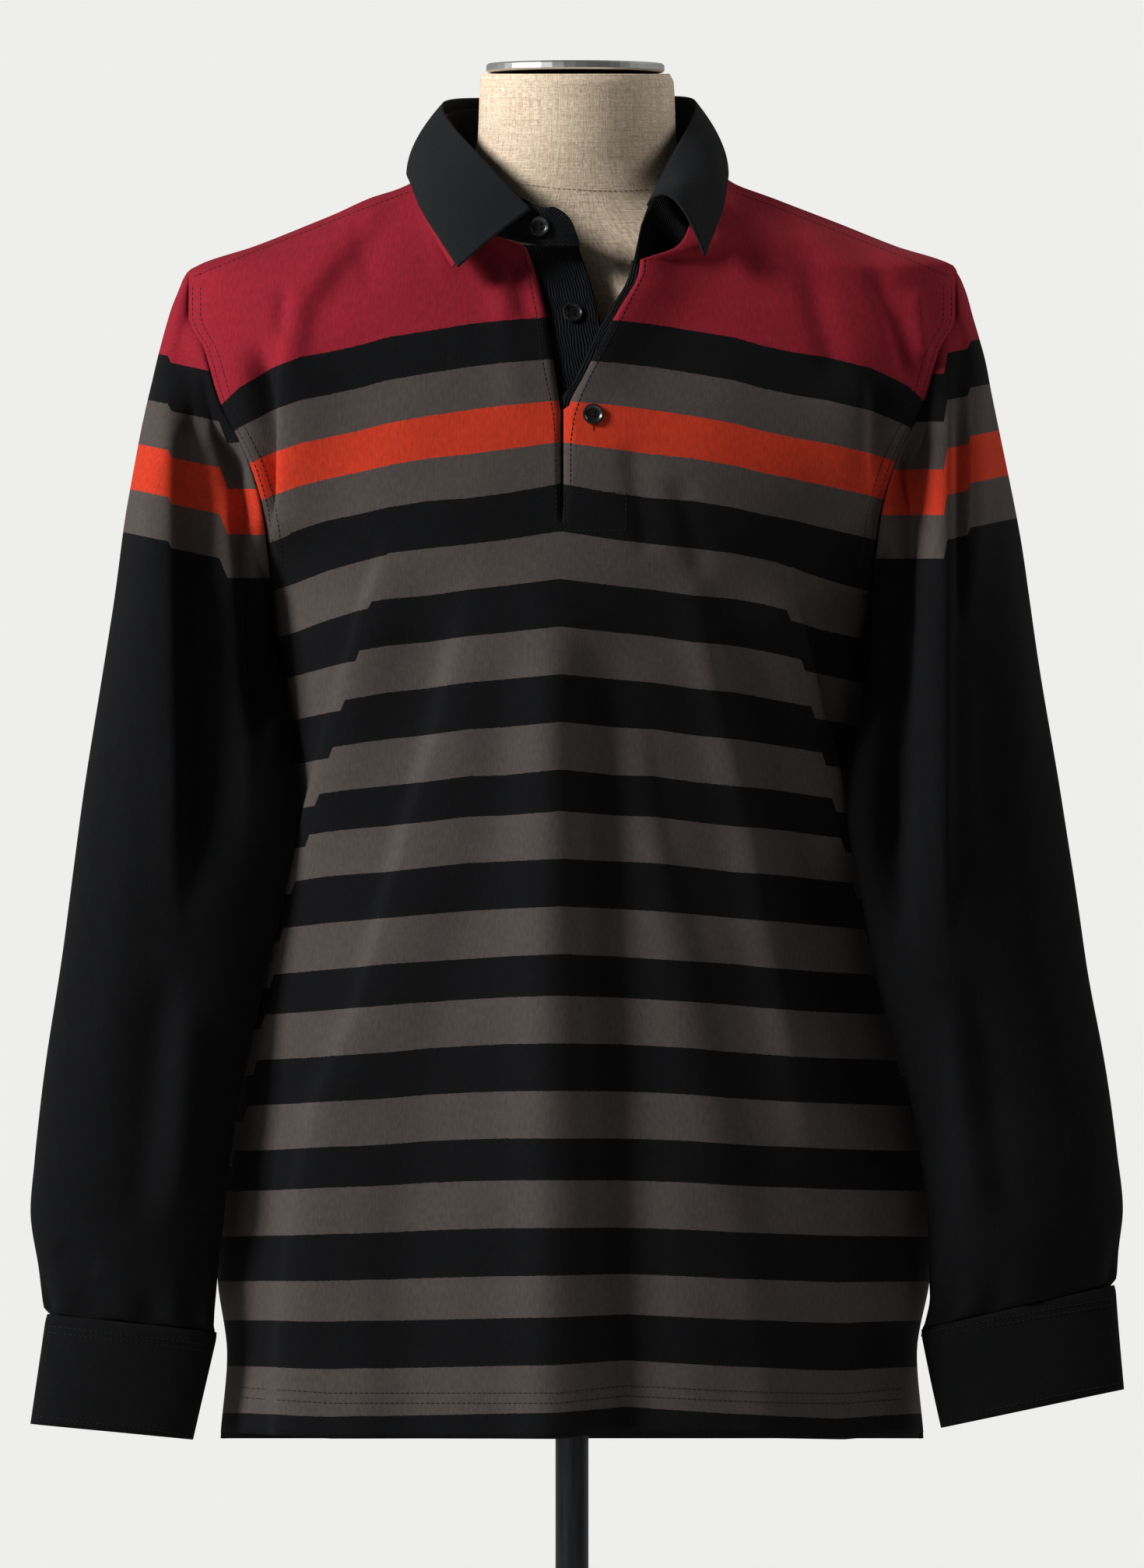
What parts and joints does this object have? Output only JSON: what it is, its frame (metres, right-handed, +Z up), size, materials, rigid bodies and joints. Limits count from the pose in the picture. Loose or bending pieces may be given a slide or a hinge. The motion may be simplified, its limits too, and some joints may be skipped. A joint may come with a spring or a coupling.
{
  "type": "long-sleeve polo shirt on a dress form with stand",
  "caption": "Long-sleeved knitted polo shirt with a shirt collar, half-open buttoned placket and cuffs, on a limbless linen dress form with a round metal base.",
  "frame": {"origin": "centre of the base's underside, on the pole's axis, at floor level", "axes": "+Z up along the pole; the shirt's front faces -Y; +X is the wearer's left, on the right of the picture"},
  "size_m": [0.6605, 0.34, 1.5967],
  "materials": {
    "striped_knit": "soft matte single-jersey cotton knit, crosswise stripes of crimson, black, grey-brown and orange-red, then grey-brown and black",
    "black_knit": "matte black flat rib knit",
    "crimson_knit": "matte crimson jersey",
    "black_twill": "matte black cotton with fine lengthwise ribs",
    "black_buttons": "moulded black resin, satin",
    "linen": "natural linen with slubs, pasted over a hard shell",
    "bright_cap": "turned and polished",
    "dark_chrome": "dark polished tube",
    "dark_base": "dark satin metal"
  },
  "bodies": {
    "root": {"front": "striped_knit", "back": "striped_knit", "sleeve_right": "striped_knit", "sleeve_left": "striped_knit", "cuff_right": "black_knit", "cuff_left": "black_knit", "collar_leaf": "black_knit", "collar_under": "crimson_knit", "collar_stand": "black_twill", "placket_facing": "black_twill", "placket_underlap": "black_twill", "button_collar": "black_buttons", "button_upper": "black_buttons", "button_lower": "black_buttons", "form_body": "linen", "neck_cap": "bright_cap", "pole": "dark_chrome", "base": "dark_base"}
  },
  "joints": []
}
